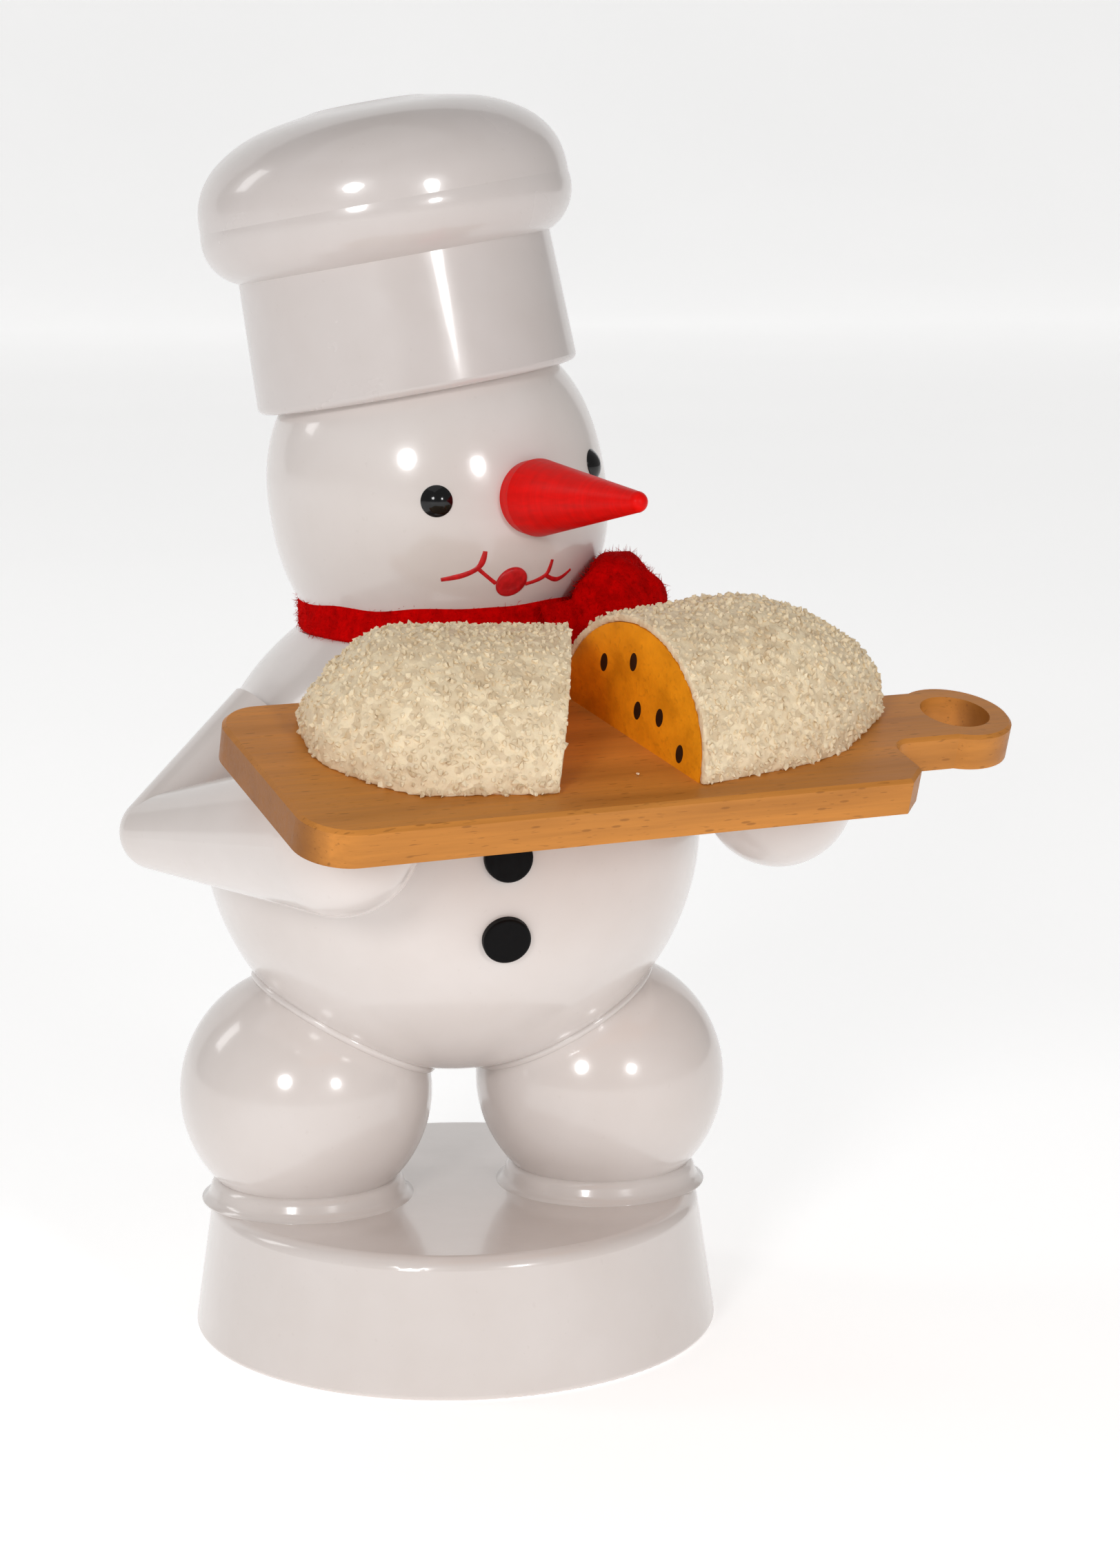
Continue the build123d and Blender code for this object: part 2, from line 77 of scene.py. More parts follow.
# ---------------------------------------------------------------- sizes and colours
def size_property(name, text, default, low, high):
    return FloatProperty(name=name, description=text, default=default * MM, min=low * MM, max=high * MM,
                         unit="LENGTH", precision=5)


def shade_property(name, text, value):
    return FloatVectorProperty(name=name, description=text, default=linear(value)[:3], size=3, min=0.0,
                               max=1.0, subtype="COLOR")


def linear(value):
    """Linear RGBA of an sRGB hex value such as 'E6E0DC'."""
    channels = []
    for i in (0, 2, 4):
        c = int(value[i:i + 2], 16) / 255
        channels.append(c / 12.92 if c <= 0.04045 else ((c + 0.055) / 1.055) ** 2.4)
    return (*channels, 1.0)


class SnowmanStageSettings(PropertyGroup):
    lens: FloatProperty(name="Lens", description="Focal length on a 36 mm long side", default=75.0 * MM,
                        min=20 * MM, max=300 * MM, unit="CAMERA")
    daylight: FloatProperty(name="Daylight", description="Strength of the even light all round",
                            default=0.30, min=0.0, max=5.0)
    lamp: FloatProperty(name="Lamps", description="Power of each of the two small front lamps",
                        default=0.62, min=0.0, max=20.0, unit="POWER")
    softbox: FloatProperty(name="Softbox", description="Power of the large overhead softbox",
                           default=0.7, min=0.0, max=50.0, unit="POWER")
    window: FloatProperty(name="Window", description="Power of the tall side window",
                          default=0.35, min=0.0, max=20.0, unit="POWER")


class SnowmanFinishSettings(PropertyGroup):
    white: shade_property("White lacquer", "Sprayed lacquer on balls, arms and base", "DDD5D1")
    # the hat's lacquer is the white lacquer made darker: painted shade on the hat
    hat: shade_property("Hat lacquer", "White lacquer darkened as painted shade on the hat", "CFC7C4")
    carrot: shade_property("Carrot", "Stained and waxed nose", "E60501")
    mouth: shade_property("Mouth paint", "Brushed mouth line", "C8171C")
    felt: shade_property("Scarf felt", "Wool felt of the scarf", "CC0303")
    beech: shade_property("Beech", "Waxed beech of the board", "CB8438")
    crumb: shade_property("Crumb", "Ochre stain of the cut loaf", "F0990E")
    sugar: shade_property("Sugar", "Granulated coat of the loaf", "EEDAB8")


class SnowmanFaceSettings(PropertyGroup):
    line: size_property("Mouth line", "Width of the brushed mouth line", 0.46, 0.1, 1.0)
    lips: size_property("Mouth dot", "Length of the round mouth dot", 2.15, 0.5, 4.0)


class SnowmanLoafSettings(PropertyGroup):
    grain: size_property("Grain", "Size of one sugar grain", 0.46, 0.1, 1.5)
    spacing: size_property("Spacing", "Least distance between grains", 0.33, 0.1, 1.5)
    swell: size_property("Swell", "Unevenness of the glaze under the grains", 0.22, 0.0, 1.0)
    seed: IntProperty(name="Seed", description="Scatter of the grains", default=7, min=0)


class SnowmanScarfSettings(PropertyGroup):
    felt: size_property("Felt", "Thickness of the felt strip", 0.8, 0.2, 2.0)
    fibre: size_property("Fibre", "Length of the loose fibres", 0.55, 0.1, 2.0)
    seed: IntProperty(name="Seed", description="Lie of the folds and fibres", default=3, min=0)


# ---------------------------------------------------------------- bench tools
def deselect_all():
    if bpy.context.object and bpy.context.object.mode != "OBJECT":
        bpy.ops.object.mode_set(mode="OBJECT")
    bpy.ops.object.select_all(action="DESELECT")


def take_up(obj):
    """Make obj the only selected and the active object."""
    deselect_all()
    obj.select_set(True)
    bpy.context.view_layer.objects.active = obj


def named(name):
    obj = bpy.context.object
    obj.name = name
    obj.data.name = name
    return obj


def settle(obj):
    """Move the object's place into its mesh."""
    take_up(obj)
    bpy.ops.object.transform_apply(location=True, rotation=True, scale=True)


def worked(obj, kind, **settings):
    """Add one modifier with its settings and apply it."""
    take_up(obj)
    modifier = obj.modifiers.new(kind.title(), kind)
    for key, value in settings.items():
        setattr(modifier, key, value)
    bpy.ops.object.modifier_apply(modifier=modifier.name)


def choose(obj, kind, test):
    """In edit mode, select the faces, edges or vertices that pass the test and nothing else."""
    bpy.ops.mesh.select_mode(type={"faces": "FACE", "edges": "EDGE", "verts": "VERT"}[kind])
    bpy.ops.mesh.select_all(action="DESELECT")
    shape = bmesh.from_edit_mesh(obj.data)
    for element in getattr(shape, kind):
        element.select = bool(test(element))
    shape.select_flush_mode()
    bmesh.update_edit_mesh(obj.data)


def direction(bearing, elevation=0.0):
    """Unit vector, bearing 0 to the front and positive to +X."""
    b, e = math.radians(bearing), math.radians(elevation)
    return Vector((math.sin(b) * math.cos(e), -math.cos(b) * math.cos(e), math.sin(e)))


def head_point(bearing, latitude, lift=0.0):
    """Point of the head's skin in millimetres, in the leaning head's own bearings."""
    d = direction(bearing, latitude)
    flat = math.hypot(d.x, d.y)
    reach = HEAD_RADIUS / (flat ** HEAD_FULLNESS + abs(d.z) ** HEAD_FULLNESS) ** (1 / HEAD_FULLNESS)
    return HEAD_CENTRE + HEAD_TURN.to_matrix() @ (d * (reach + lift))


def board_point(along, across, lift=0.0):
    return BOARD_CORNER + BOARD_TURN.to_matrix() @ Vector((along, across, lift))


def drawn_profile(name, points):
    """One vertex pulled along the points of a profile, edge by edge."""
    deselect_all()
    bpy.ops.mesh.primitive_plane_add(size=MM, location=(0, 0, 0))
    obj = named(name)
    bpy.ops.object.mode_set(mode="EDIT")
    bpy.ops.mesh.select_mode(type="VERT")
    bpy.ops.mesh.select_all(action="SELECT")
    bpy.ops.mesh.merge(type="CENTER")
    bpy.ops.transform.translate(value=points[0] * MM)
    for start, end in zip(points, points[1:]):
        bpy.ops.mesh.extrude_region_move(TRANSFORM_OT_translate={"value": (end - start) * MM})
    bpy.ops.object.mode_set(mode="OBJECT")
    return obj


def turned(name, centre, axis, profile, steps=96):
    """Profile of (radius, height) in millimetres spun once round an axis and closed."""
    axis = axis.normalized()
    out = axis.orthogonal().normalized()
    obj = drawn_profile(name, [centre + out * r + axis * h for r, h in profile])
    bpy.ops.object.mode_set(mode="EDIT")
    bpy.ops.mesh.select_all(action="SELECT")
    bpy.ops.mesh.spin(steps=steps, angle=2 * math.pi, center=centre * MM, axis=axis)
    bpy.ops.mesh.select_all(action="SELECT")
    bpy.ops.mesh.remove_doubles(threshold=0.00001)
    bpy.ops.mesh.normals_make_consistent(inside=False)
    bpy.ops.object.mode_set(mode="OBJECT")
    bpy.ops.object.shade_smooth()
    return obj


def joined(name, pieces):
    deselect_all()
    for piece in pieces:
        piece.select_set(True)
    bpy.context.view_layer.objects.active = pieces[0]
    bpy.ops.object.join()
    return named(name)


def finished(obj, material, slot, *stands_for):
    """Give a new piece its finish, its body and the turned parts it stands for."""
    obj.data.materials.clear()
    obj.data.materials.append(material)
    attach(obj, "root")
    if stands_for:
        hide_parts(*stands_for)


# ---------------------------------------------------------------- finishes
def add_node(tree, kind, inputs=None, **settings):
    """Add one node; inputs are values or output sockets to link, by socket name or number."""
    node = tree.nodes.new(kind)
    for key, value in settings.items():
        setattr(node, key, value)
    for key, value in (inputs or {}).items():
        socket = node.inputs[key]
        if isinstance(value, bpy.types.NodeSocket):
            tree.links.new(value, socket)
        else:
            socket.default_value = value
    return node


def new_finish(name, **fixed):
    """Material with one Principled shader whose even values are set on its sockets."""
    material = bpy.data.materials.new(name)
    material.use_nodes = True
    tree = material.node_tree
    tree.nodes.clear()
    shader = add_node(tree, "ShaderNodeBsdfPrincipled", fixed)
    add_node(tree, "ShaderNodeOutputMaterial", {"Surface": shader.outputs[0]})
    return material, tree, shader


def millimetres(tree, place=(0, 0, 0), turn=(0, 0, 0)):
    """Object coordinates in millimetres from a place, along the axes of a turn."""
    where = add_node(tree, "ShaderNodeTexCoord").outputs["Object"]
    return add_node(tree, "ShaderNodeMapping", {"Vector": where, "Location": Vector(place) * MM,
                                               "Rotation": turn, "Scale": (MM, MM, MM)},
                    vector_type="TEXTURE").outputs[0]


def stretched(tree, where, scale):
    return add_node(tree, "ShaderNodeMapping", {"Vector": where, "Scale": scale}).outputs[0]


def pattern(tree, where, per_mm, detail=3.0, rough=0.5):
    return add_node(tree, "ShaderNodeTexNoise", {"Vector": where, "Scale": per_mm, "Detail": detail,
                                                 "Roughness": rough}).outputs["Fac"]


def graded(tree, fac, *stops):
    """Colour ramp through (position, colour) stops."""
    ramp = add_node(tree, "ShaderNodeValToRGB", {"Fac": fac})
    elements = ramp.color_ramp.elements
    elements[0].position, elements[0].color = stops[0]
    elements[1].position, elements[1].color = stops[-1]
    for position, shade in stops[1:-1]:
        elements.new(position).color = shade
    return ramp.outputs["Color"]


def ranged(tree, fac, low, high, to_low, to_high):
    return add_node(tree, "ShaderNodeMapRange", {"Value": fac, "From Min": low, "From Max": high,
                                                 "To Min": to_low, "To Max": to_high}).outputs[0]


def mixed(tree, fac, a, b, blend="MIX"):
    node = add_node(tree, "ShaderNodeMix", data_type="RGBA", blend_type=blend)
    for index, value in ((0, fac), (6, a), (7, b)):
        if isinstance(value, bpy.types.NodeSocket):
            tree.links.new(value, node.inputs[index])
        else:
            node.inputs[index].default_value = value
    return node.outputs[2]


def raised(tree, shader, height, strength, depth, under=None):
    """Bump of a depth in millimetres on the shader."""
    inputs = {"Height": height, "Strength": strength, "Distance": depth * MM}
    if under is not None:
        inputs["Normal"] = under
    bump = add_node(tree, "ShaderNodeBump", inputs)
    tree.links.new(bump.outputs[0], shader.inputs["Normal"])
    return bump.outputs[0]


def tinted(shade, factor, warm=0.0):
    """Shade made lighter or darker by a factor, and warmer by a share."""
    r, g, b = shade[:3]
    return (min(1, r * factor * (1 + warm)), min(1, g * factor), min(1, b * factor * (1 - warm)), 1.0)


def lacquer(name, shade, roughness=0.2):
    """Nitro lacquer sprayed in several coats over turned wood: a clear, slightly wavy shine, faint
    clouding where the coats are thinner, and a few dust specks sanded in."""
    material, tree, shader = new_finish(name, **{"Specular IOR Level": 0.5, "IOR": 1.5,
                                                 "Coat Weight": 0.55, "Coat Roughness": 0.07})
    where = millimetres(tree)
    clouds = pattern(tree, where, 0.16, 4.0)
    even = graded(tree, clouds, (0.3, tinted(shade, 0.955, 0.012)), (0.7, tinted(shade, 1.02)))
    specks = ranged(tree, pattern(tree, where, 2.6, 1.0), 0.72, 0.78, 0.0, 0.10)
    dusted = mixed(tree, specks, even, tinted(shade, 0.70, 0.05))
    tree.links.new(dusted, shader.inputs["Base Color"])
    tree.links.new(ranged(tree, clouds, 0.3, 0.7, roughness * 0.85, roughness * 1.2),
                   shader.inputs["Roughness"])
    # orange peel of about 1.2 mm, and the soft unevenness of brushed filler under it
    peel = raised(tree, shader, pattern(tree, where, 0.85, 2.0), 0.12, 0.05)
    raised(tree, shader, pattern(tree, where, 0.22, 2.0), 0.16, 0.16, peel)
    return material


def carrot_stain(shade):
    """Beech turned to a carrot, stained red and waxed: satin, with faint turning rings."""
    material, tree, shader = new_finish("Stained beech, waxed", **{"Specular IOR Level": 0.12,
                                                                   "Coat Weight": 0.02,
                                                                   "Coat Roughness": 0.25})
    axis = HEAD_TURN.to_matrix() @ direction(NOSE_BEARING, NOSE_DROP)
    where = millimetres(tree, HEAD_CENTRE, axis.to_track_quat("Z", "Y").to_euler())
    rings = pattern(tree, stretched(tree, where, (0.25, 0.25, 2.8)), 1.0, 3.0, 0.6)
    grain = pattern(tree, stretched(tree, where, (2.2, 2.2, 0.3)), 1.0, 3.0, 0.6)
    stain = mixed(tree, 0.45, graded(tree, grain, (0.3, tinted(shade, 0.78)), (0.7, tinted(shade, 1.12))),
                  graded(tree, rings, (0.3, tinted(shade, 0.85)), (0.7, tinted(shade, 1.15, 0.04))))
    tree.links.new(stain, shader.inputs["Base Color"])
    tree.links.new(ranged(tree, grain, 0.3, 0.7, 0.36, 0.5), shader.inputs["Roughness"])
    raised(tree, shader, rings, 0.25, 0.08)
    return material


def enamel(name, shade, roughness, coat, gloss=0.3):
    """Paint laid on with a fine brush: it levels to a skin with a slight brush drag."""
    material, tree, shader = new_finish(name, **{"Specular IOR Level": gloss, "Coat Weight": coat,
                                                 "Coat Roughness": 0.04})
    where = millimetres(tree)
    drag = pattern(tree, stretched(tree, where, (3.0, 3.0, 1.2)), 1.0, 2.0)
    tree.links.new(graded(tree, drag, (0.3, tinted(shade, 0.8)), (0.7, tinted(shade, 1.2))),
                   shader.inputs["Base Color"])
    tree.links.new(ranged(tree, drag, 0.3, 0.7, roughness * 0.8, roughness * 1.2),
                   shader.inputs["Roughness"])
    raised(tree, shader, drag, 0.2, 0.04)
    return material


def waxed_beech(shade):
    """Quarter-sawn beech, sanded and waxed: fine long grain, short dark pores, darker ray flecks a
    millimetre or two long, and end grain darkened, partly as the wax it soaks up and partly as painted shade."""
    material, tree, shader = new_finish("Beech, sanded and waxed", **{"Specular IOR Level": 0.25,
                                                                      "Coat Weight": 0.03,
                                                                      "Coat Roughness": 0.3})
    where = millimetres(tree, BOARD_CORNER, BOARD_TURN)
    bands = pattern(tree, stretched(tree, where, (0.035, 0.42, 0.42)), 1.0, 4.0, 0.55)
    fibre = pattern(tree, stretched(tree, where, (0.12, 3.2, 3.2)), 1.0, 3.0, 0.6)
    pores = pattern(tree, stretched(tree, where, (1.1, 7.0, 7.0)), 1.0, 1.0)
    flecks = add_node(tree, "ShaderNodeTexVoronoi", {"Vector": stretched(tree, where, (0.42, 2.6, 1.7)),
                                                     "Scale": 1.0, "Randomness": 1.0}).outputs["Distance"]
    wood = graded(tree, bands, (0.28, tinted(shade, 0.70, 0.03)), (0.5, tinted(shade, 0.98)),
                  (0.72, tinted(shade, 1.16)))
    wood = mixed(tree, ranged(tree, fibre, 0.35, 0.65, 0.22, 0.0), wood, tinted(shade, 0.5, 0.06))
    wood = mixed(tree, ranged(tree, pores, 0.66, 0.74, 0.0, 0.45), wood, tinted(shade, 0.34, 0.10))
    wood = mixed(tree, ranged(tree, flecks, 0.16, 0.10, 0.0, 0.55), wood, tinted(shade, 0.36, 0.10))
    # end grain at both ends of the board, darkened partly as its own wax soak and partly as painted shade
    end = add_node(tree, "ShaderNodeVectorMath", {0: add_node(tree, "ShaderNodeNewGeometry").outputs["Normal"],
                                                  1: BOARD_TURN.to_matrix() @ Vector((1, 0, 0))},
                   operation="DOT_PRODUCT").outputs["Value"]
    end = add_node(tree, "ShaderNodeMath", {0: end}, operation="ABSOLUTE").outputs[0]
    wood = mixed(tree, ranged(tree, end, 0.55, 0.95, 0.0, 0.72), wood, tinted(shade, 0.30, 0.12))
    tree.links.new(wood, shader.inputs["Base Color"])
    tree.links.new(ranged(tree, fibre, 0.3, 0.7, 0.38, 0.5), shader.inputs["Roughness"])
    raised(tree, shader, mixed(tree, 0.5, fibre, pores), 0.22, 0.06)
    return material


def baked_crumb(shade):
    """Cut face of the loaf: ochre water stain on open wood, mottled and dry."""
    material, tree, shader = new_finish("Stained cut wood", **{"Specular IOR Level": 0.3})
    where = millimetres(tree)
    blotch = pattern(tree, where, 0.38, 4.0, 0.6)
    pits = pattern(tree, where, 3.2, 2.0)
    stain = graded(tree, blotch, (0.3, tinted(shade, 0.66, 0.05)), (0.5, tinted(shade, 0.95)),
                   (0.72, tinted(shade, 1.18)))
    stain = mixed(tree, ranged(tree, pits, 0.58, 0.7, 0.0, 0.35), stain, tinted(shade, 0.55, 0.08))
    tree.links.new(stain, shader.inputs["Base Color"])
    tree.links.new(ranged(tree, blotch, 0.3, 0.7, 0.5, 0.65), shader.inputs["Roughness"])
    raised(tree, shader, pits, 0.4, 0.08)
    return material


def sugar_glaze(shade):
    """Coarse sugar set in glue: matt, slightly translucent crystals, cream to white, browner between."""
    material, tree, shader = new_finish("Granulated sugar coat", **{"Specular IOR Level": 0.45,
                                                                    "Subsurface Weight": 0.12,
                                                                    "Subsurface Radius": (1.0, 0.8, 0.5),
                                                                    "Subsurface Scale": 0.0006})
    where = millimetres(tree)
    grains = add_node(tree, "ShaderNodeTexVoronoi", {"Vector": where, "Scale": 2.1, "Randomness": 1.0})
    clumps = pattern(tree, where, 0.55, 3.0, 0.6)
    tone = add_node(tree, "ShaderNodeSeparateColor", {0: grains.outputs["Color"]}).outputs[0]
    body = graded(tree, tone, (0.0, tinted(shade, 0.80, 0.05)), (0.45, tinted(shade, 0.98)),
                  (1.0, tinted(shade, 1.14, -0.02)))
    body = mixed(tree, ranged(tree, clumps, 0.35, 0.65, 0.30, 0.0), body, tinted(shade, 0.70, 0.09))
    tree.links.new(body, shader.inputs["Base Color"])
    tree.links.new(ranged(tree, tone, 0.0, 1.0, 0.35, 0.7), shader.inputs["Roughness"])
    raised(tree, shader, pattern(tree, where, 4.5, 2.0), 0.5, 0.08)
    return material


def wool_felt(shade):
    """Pressed wool felt: matt, with a short nap that catches light at its edges."""
    material, tree, shader = new_finish("Wool felt, pressed", **{"Specular IOR Level": 0.02,
                                                                 "Sheen Weight": 0.03,
                                                                 "Sheen Roughness": 0.5,
                                                                 "Sheen Tint": tinted(shade, 1.6)})
    where = millimetres(tree)
    matted = pattern(tree, where, 1.3, 5.0, 0.7)
    fibres = pattern(tree, stretched(tree, where, (3.5, 3.5, 1.4)), 1.0, 4.0, 0.7)
    dye = graded(tree, matted, (0.3, tinted(shade, 0.62)), (0.55, tinted(shade, 1.0)),
                 (0.75, tinted(shade, 1.28, 0.02)))
    dye = mixed(tree, ranged(tree, fibres, 0.35, 0.65, 0.35, 0.0), dye, tinted(shade, 0.5))
    tree.links.new(dye, shader.inputs["Base Color"])
    tree.links.new(ranged(tree, matted, 0.3, 0.7, 0.85, 0.98), shader.inputs["Roughness"])
    raised(tree, shader, fibres, 0.6, 0.14)
    return material


def bare_dowel(shade):
    """Rolled dowel of untreated beech: pale, dry, with straight grain."""
    material, tree, shader = new_finish("Beech dowel, untreated", **{"Specular IOR Level": 0.3})
    grain = pattern(tree, stretched(tree, millimetres(tree), (2.4, 2.4, 0.2)), 1.0, 3.0)
    tree.links.new(graded(tree, grain, (0.3, tinted(shade, 0.8)), (0.7, tinted(shade, 1.1))),
                   shader.inputs["Base Color"])
    tree.links.new(ranged(tree, grain, 0.3, 0.7, 0.6, 0.75), shader.inputs["Roughness"])
    return material


def studio_paper():
    """Seamless white paper: bright, matt and even."""
    material, tree, shader = new_finish("Seamless paper", **{"Roughness": 0.9, "Specular IOR Level": 0.1,
                                                             "Emission Color": (1, 1, 1, 1),
                                                             "Emission Strength": 0.46})
    tone = pattern(tree, millimetres(tree), 0.004, 2.0)
    tree.links.new(graded(tree, tone, (0.3, (0.90, 0.90, 0.90, 1)), (0.7, (0.93, 0.93, 0.93, 1))),
                   shader.inputs["Base Color"])
    return material


FINISHES = {}


def finish_of(slot):
    """The material of a slot, made once."""
    if slot not in FINISHES:
        shades = bpy.context.scene.snowman_finish
        makers = {
            "white_lacquer": lambda: lacquer("White lacquer, sprayed", shades.white),
            # the hat's darker lacquer is painted shade over the same white lacquer
            "hat_lacquer": lambda: lacquer("Hat lacquer, sprayed", shades.hat, 0.24),
            "red_lacquer": lambda: carrot_stain(shades.carrot),
            "mouth_paint": lambda: enamel("Red paint, brushed", shades.mouth, 0.4, 0.1),
            "black_enamel": lambda: enamel("Black enamel, dropped", linear("060607"), 0.12, 0.35),
            "black_paint": lambda: enamel("Black paint, brushed", linear("050405"), 0.5, 0.0, 0.12),
            "raisin_paint": lambda: enamel("Dark brown paint, dabbed", linear("24140C"), 0.5, 0.0),
            "beech": lambda: waxed_beech(shades.beech),
            "crumb_paint": lambda: baked_crumb(shades.crumb),
            "sugar_coat": lambda: sugar_glaze(shades.sugar),
            "red_felt": lambda: wool_felt(shades.felt),
            "dowel_wood": lambda: bare_dowel(linear("D9B98A")),
        }
        FINISHES[slot] = makers[slot]()
    return FINISHES[slot]


# ---------------------------------------------------------------- operators
class SNOWMAN_OT_stage(Operator):
    """Camera, seamless paper and lamps"""
    bl_idname = "snowman.stage"
    bl_label = "Stage"

    def execute(self, context):
        settings = context.scene.snowman_stage
        yaw, pitch, roll = -0.18, 0.169, -0.004
        ahead = Vector((-math.sin(yaw) * math.cos(pitch), math.cos(yaw) * math.cos(pitch), -math.sin(pitch)))
        side = Vector((math.cos(yaw), math.sin(yaw), 0))
        up = side.cross(ahead)
        right = side * math.cos(roll) + up * math.sin(roll)
        top = up * math.cos(roll) - side * math.sin(roll)
        camera = bpy.data.objects.new("camera", bpy.data.cameras.new("camera"))
        context.collection.objects.link(camera)
        camera.matrix_world = Matrix((right, top, -ahead)).transposed().to_4x4()
        camera.location = Vector((-30.6, -207.75, 71.62)) * MM
        camera.data.lens = settings.lens / MM
        camera.data.clip_start, camera.data.clip_end = 0.01, 20.0
        context.scene.camera = camera
        context.scene.view_settings.view_transform = "Standard"

        world = bpy.data.worlds.new("even daylight")
        world.use_nodes = True
        world.node_tree.nodes["Background"].inputs["Color"].default_value = (1.0, 0.985, 0.97, 1.0)
        world.node_tree.nodes["Background"].inputs["Strength"].default_value = settings.daylight
        context.scene.world = world

        aim = Vector((0, 0, 34)) * MM
        self.lamp("left lamp", aim + direction(-27, 18) * 0.5, aim, 0.11, settings.lamp, "DISK")
        self.lamp("right lamp", aim + direction(21, 15) * 0.5, aim, 0.08, settings.lamp * 0.7, "DISK")
        self.lamp("overhead softbox", Vector((-0.15, -0.1, 0.9)), aim, 0.8, settings.softbox, "SQUARE")
        self.lamp("side window", aim + direction(-112, 30) * 0.7, aim, 0.25, settings.window, "RECTANGLE", 0.12)
        self.paper()
        return {"FINISHED"}

    def lamp(self, name, place, aim, size, power, shape, width=None):
        light = bpy.data.lights.new(name, "AREA")
        light.shape, light.size, light.energy = shape, size, power
        if width:
            light.size, light.size_y = width, size
        obj = bpy.data.objects.new(name, light)
        obj.location = place
        obj.rotation_euler = (aim - place).to_track_quat("-Z", "Y").to_euler()
        obj.visible_camera = False
        bpy.context.collection.objects.link(obj)

    def paper(self):
        """Floor swept up into a back wall by extruding and bevelling its far edge."""
        deselect_all()
        bpy.ops.mesh.primitive_plane_add(size=6.0, location=(0, 0, 0))
        floor = named("studio_paper")
        bpy.ops.object.mode_set(mode="EDIT")
        choose(floor, "edges", lambda e: all(v.co.y > 2.9 for v in e.verts))
        bpy.ops.mesh.extrude_region_move(TRANSFORM_OT_translate={"value": (0, 0, 3.0)})
        choose(floor, "edges", lambda e: all(v.co.y > 2.9 and v.co.z < 0.1 for v in e.verts))
        bpy.ops.mesh.bevel(offset=0.8, segments=12, affect="EDGES")
        bpy.ops.object.mode_set(mode="OBJECT")
        bpy.ops.object.shade_smooth()
        floor.data.materials.append(studio_paper())


class SNOWMAN_OT_finishes(Operator):
    """Finish of every turned part"""
    bl_idname = "snowman.finishes"
    bl_label = "Finishes"

    def execute(self, context):
        slots = {
            "white_lacquer": ("base", "body", "head", "left_leg", "right_leg", "left_upper_arm",
                              "right_upper_arm", "left_forearm", "right_forearm"),
            "hat_lacquer": ("chef_hat",),
            "red_lacquer": ("nose",),
            "black_enamel": ("left_eye", "right_eye"),
            "black_paint": ("top_button", "bottom_button"),
            "beech": ("board",),
            "crumb_paint": ("left_loaf_core", "right_loaf_core"),
            "raisin_paint": tuple(f"raisin_{i}" for i in range(1, 6)),
            "sugar_coat": ("left_loaf_crust", "right_loaf_crust"),
            "red_felt": ("scarf_band", "scarf_knot", "scarf_tail"),
            "dowel_wood": ("neck_dowel", "hat_dowel", "left_foot_dowel", "right_foot_dowel",
                           "left_hip_dowel", "right_hip_dowel", "left_shoulder_dowel",
                           "right_shoulder_dowel"),
        }
        given = set()
        for slot, nodes in slots.items():
            for node in nodes:
                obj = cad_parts[node]
                obj.data.materials.clear()
                obj.data.materials.append(finish_of(slot))
                given.add(node)
        missed = set(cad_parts) - given
        if missed:
            raise RuntimeError(f"parts without a finish: {sorted(missed)}")
        return {"FINISHED"}


class SNOWMAN_OT_seams(Operator):
    """Lacquer pooled round the feet and the hips"""
    bl_idname = "snowman.seams"
    bl_label = "Lacquer seams"

    def execute(self, context):
        seams = []
        for side, name in ((-1, "left"), (1, "right")):
            leg = Vector((side * LEG_CENTRE.x, 0, LEG_CENTRE.z))
            foot = Vector((leg.x, 0, BASE_TOP))
            seams.append(turned(f"{name}_foot_seam", foot, Vector((0, 0, 1)), self.foot_profile(), 96))
            run = leg - TORSO_CENTRE
            reach = run.length
            depth = (reach ** 2 + TORSO_RADIUS ** 2 - LEG_RADIUS ** 2) / (2 * reach)
            ring = math.sqrt(TORSO_RADIUS ** 2 - depth ** 2)
            seat = TORSO_CENTRE + run.normalized() * depth
            profile = [(ring + 0.12 + 0.30 * math.cos(a), 0.02 + 0.30 * math.sin(a))
                       for a in (math.radians(30 * i) for i in range(13))]
            seams.append(turned(f"{name}_hip_seam", seat, run, profile, 96))
        for seam in seams:
            finished(seam, finish_of("white_lacquer"), "white_lacquer")
        return {"FINISHED"}

    def foot_profile(self):
        """Collar of filler between the ball and the drum, rounded off by the lacquer."""
        return [(FOOT_RADIUS - 0.1, -0.05), (FOOT_RADIUS - 0.1, 1.35), (FOOT_RADIUS + 0.25, 1.40),
                (FOOT_RADIUS + 0.55, 1.22), (FOOT_RADIUS + 0.72, 0.90), (FOOT_RADIUS + 0.82, 0.50),
                (FOOT_RADIUS + 1.00, 0.18), (FOOT_RADIUS + 1.35, 0.02), (FOOT_RADIUS + 1.35, -0.05),
                (FOOT_RADIUS - 0.1, -0.05)]


